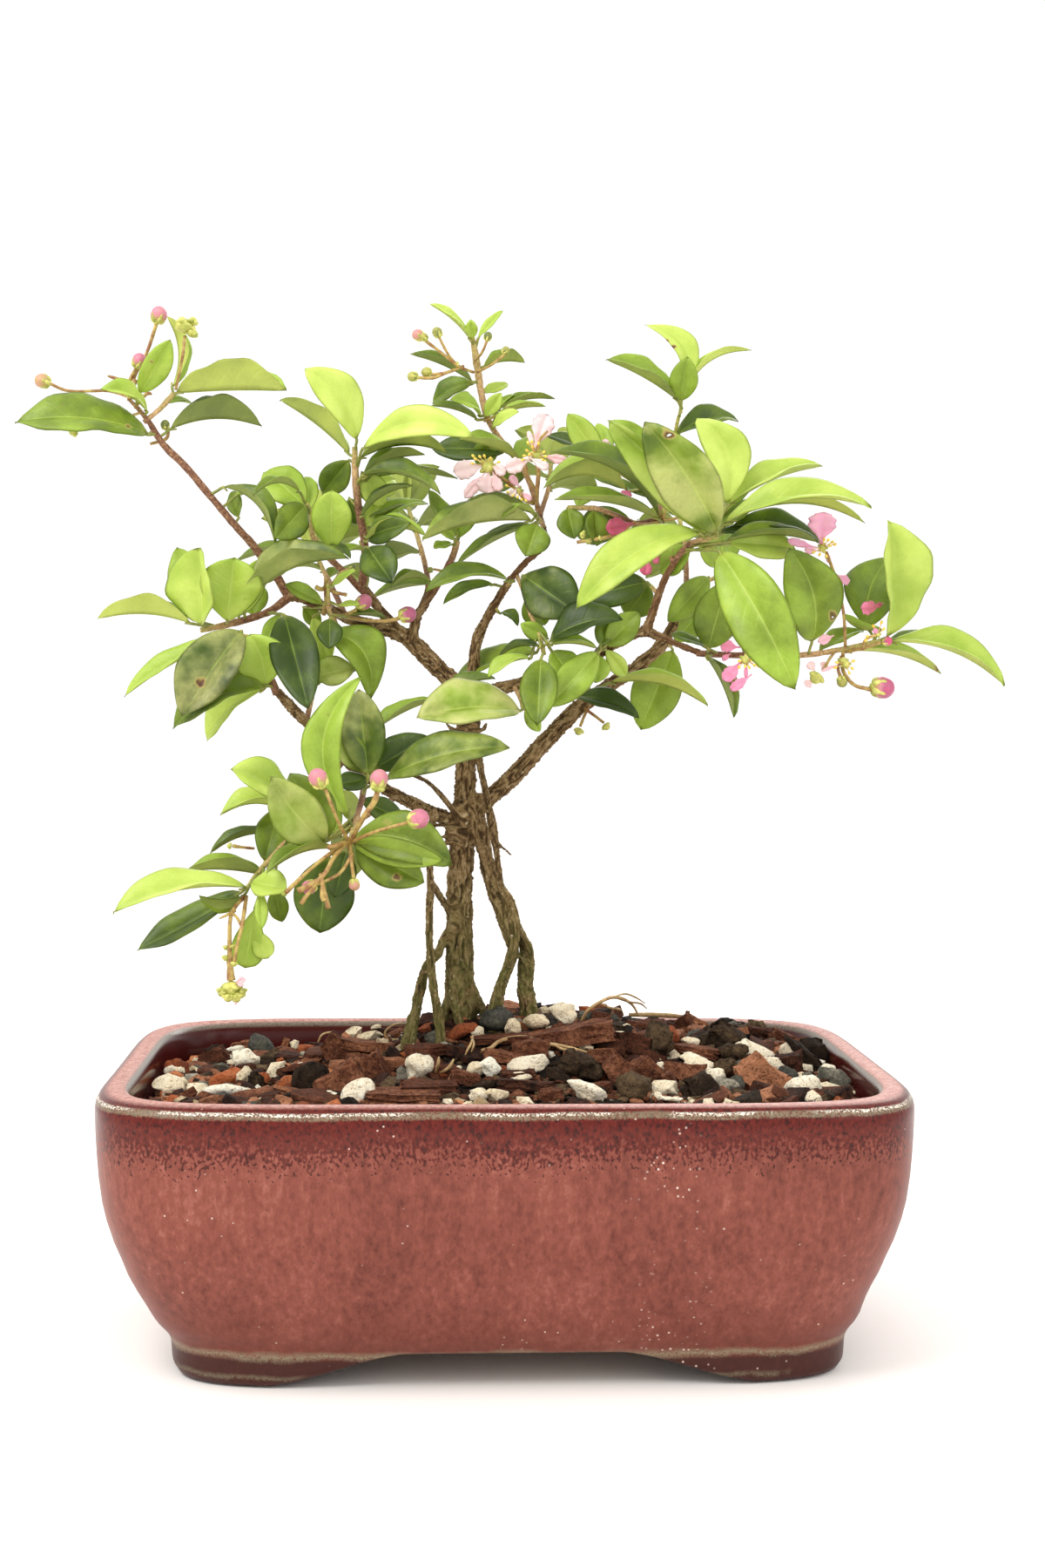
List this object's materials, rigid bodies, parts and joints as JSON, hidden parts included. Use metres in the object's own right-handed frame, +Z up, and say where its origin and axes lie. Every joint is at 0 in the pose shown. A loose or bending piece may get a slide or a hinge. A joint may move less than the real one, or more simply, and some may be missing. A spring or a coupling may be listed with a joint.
{
  "type": "potted bonsai tree",
  "caption": "Small flowering bonsai with a slim trunk, stilted roots, leafy shoots, pink buds and blooms, in a footed oblong pot with rounded corners.",
  "frame": {"origin": "middle of the whole object's plan box, at the underside of the pot's feet", "axes": "+Z up, +X to the right of the pot's long front, +Y away from the front"},
  "size_m": [0.2568, 0.15, 0.2712],
  "materials": {
    "glaze": "dusty satin glaze",
    "soil_mix": "rough loose mix",
    "bark": "matt bark",
    "leaf": "waxy leaf",
    "leaf_young": "waxy young leaf",
    "leaf_dark": "waxy shaded leaf",
    "petal": "soft petal",
    "bud_skin": "soft bud",
    "seed_green": "dull husk",
    "screen_plastic": "matt",
    "staple_wire": "brown anodised"
  },
  "bodies": {
    "root": {"pot": "glaze", "drain_screen_left": "screen_plastic", "screen_staple_left": "staple_wire", "drain_screen_right": "screen_plastic", "screen_staple_right": "staple_wire", "wood": "bark", "soil": "soil_mix", "shoot_upper_left": "leaf", "shoot_left_tip": "leaf_young", "shoot_left_hanging": "leaf", "shoot_left_crown": "leaf", "shoot_left_inner": "leaf", "shoot_low_branch": "leaf", "shoot_high_left": "leaf_young", "shoot_centre": "leaf", "shoot_crown_centre": "leaf", "shoot_top": "leaf_young", "shoot_centre_low": "leaf", "shoot_trunk_front": "leaf", "shoot_crotch": "leaf", "shoot_front_low_left": "leaf", "shoot_low_left_tip": "leaf_young", "shoot_right_crown": "leaf_young", "shoot_crown_right": "leaf", "shoot_right_tip": "leaf_young", "shoot_right_mid": "leaf", "shoot_riser": "leaf_dark", "shoot_right_low": "leaf", "shoot_right_under": "leaf", "shoot_right_back": "leaf", "shoot_back_left": "leaf", "shoot_back_centre": "leaf", "shoot_back_right": "leaf", "shoot_back_top": "leaf", "shoot_back_low": "leaf", "buds_left_tip": "bud_skin", "buds_left_spent": "seed_green", "buds_top": "bud_skin", "buds_centre_left": "bud_skin", "buds_low_front": "bud_skin", "stalks_low_left": "seed_green", "buds_right_hanging": "bud_skin", "bloom_right_fan": "petal", "bloom_right_low": "petal", "bloom_top_left": "petal", "bloom_top_right": "petal", "bloom_crown": "petal", "buds_low_right": "seed_green"}
  },
  "joints": []
}
